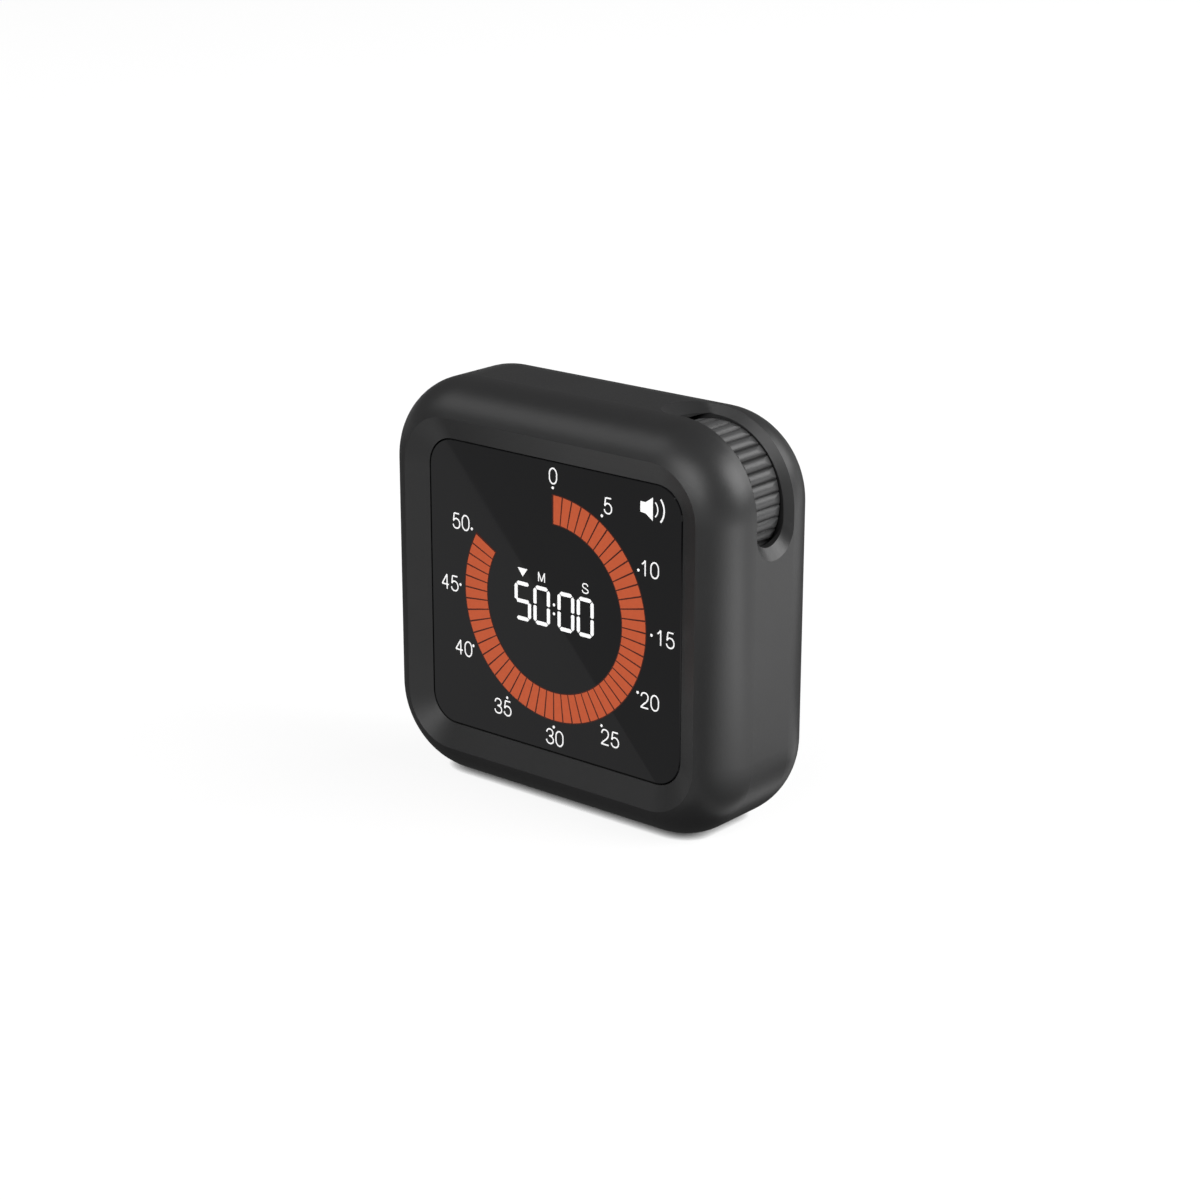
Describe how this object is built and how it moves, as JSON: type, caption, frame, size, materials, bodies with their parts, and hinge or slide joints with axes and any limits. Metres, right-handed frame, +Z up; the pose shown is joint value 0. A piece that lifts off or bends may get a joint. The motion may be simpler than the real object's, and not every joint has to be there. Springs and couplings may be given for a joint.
{
  "type": "digital timer",
  "caption": "Standing kitchen timer: rounded square case, sunken black display, scalloped thumbwheel in a flared corner slot that sets the countdown, battery door and volume slide behind",
  "frame": {"origin": "middle of the base, on the face the timer stands on", "axes": "+X to the right seen from the front, +Y from the display to the back, +Z up"},
  "size_m": [0.08, 0.03, 0.076],
  "materials": {
    "case_plastic": "fine moulded grain, matt",
    "wheel_plastic": "matt, slightly smoother than the case",
    "slider_plastic": "matt",
    "lens_plastic": "polished, tinted black",
    "adhesive": "matt tape",
    "display_glass": "polished",
    "guide_acrylic": "clear, polished",
    "lamp_resin": "clear resin",
    "strip_rubber": "matt, striped",
    "frame_plastic": "white, matt",
    "board_laminate": "green solder mask, satin",
    "chip_resin": "moulded epoxy, matt",
    "can_metal": "drawn can, satin",
    "capacitor_sleeve": "shrunk sleeve",
    "screw_steel": "zinc plated",
    "encoder_plastic": "matt",
    "shaft_metal": "turned",
    "switch_metal": "pressed can",
    "buzzer_plastic": "matt",
    "cell_sleeve": "plain shrunk sleeve",
    "contact_metal": "nickel plated",
    "foam": "open foam",
    "ribbon_film": "satin film"
  },
  "bodies": {
    "case": {"backlight_leds": "lamp_resin", "battery_bridge": "contact_metal", "battery_cells": "cell_sleeve", "board_capacitors": "capacitor_sleeve", "board_ribbon": "ribbon_film", "board_screws": "screw_steel", "buzzer": "buzzer_plastic", "controller_chip": "chip_resin", "cover_screws": "screw_steel", "crystal_can": "can_metal", "display_lens": "lens_plastic", "encoder_board": "board_laminate", "encoder_body": "encoder_plastic", "encoder_ribbon": "ribbon_film", "encoder_screws": "screw_steel", "housing": "case_plastic", "lcd_frame": "frame_plastic", "lcd_panel": "display_glass", "lens_gasket": "adhesive", "light_guide": "guide_acrylic", "main_board": "board_laminate", "negative_contact": "contact_metal", "positive_contact": "contact_metal", "rear_board": "board_laminate", "rear_board_screws": "screw_steel", "rear_cover": "case_plastic", "volume_switch": "switch_metal", "zebra_strips": "strip_rubber"},
    "thumbwheel": {"thumbwheel": "wheel_plastic", "encoder_shaft": "shaft_metal", "wheel_screw": "screw_steel"},
    "volume_slider": {"volume_slider": "slider_plastic"},
    "battery_door": {"battery_door": "case_plastic", "door_pad": "foam"}
  },
  "joints": [
    {"name": "wheel_turn", "type": "hinge", "parent": "case", "child": "thumbwheel", "pos_m": [0.02502, -0.00071, 0.06102], "axis": [0, 1, 0], "continuous": true},
    {"name": "volume_slide", "type": "slide", "parent": "case", "child": "volume_slider", "axis": [0, 0, 1], "range_m": [-0.002, 0.002]},
    {"name": "door_swing", "type": "hinge", "parent": "case", "child": "battery_door", "pos_m": [-0.0169, 0.015, 0.0359], "axis": [0, 0, 1], "range_deg": [0, 40]}
  ]
}
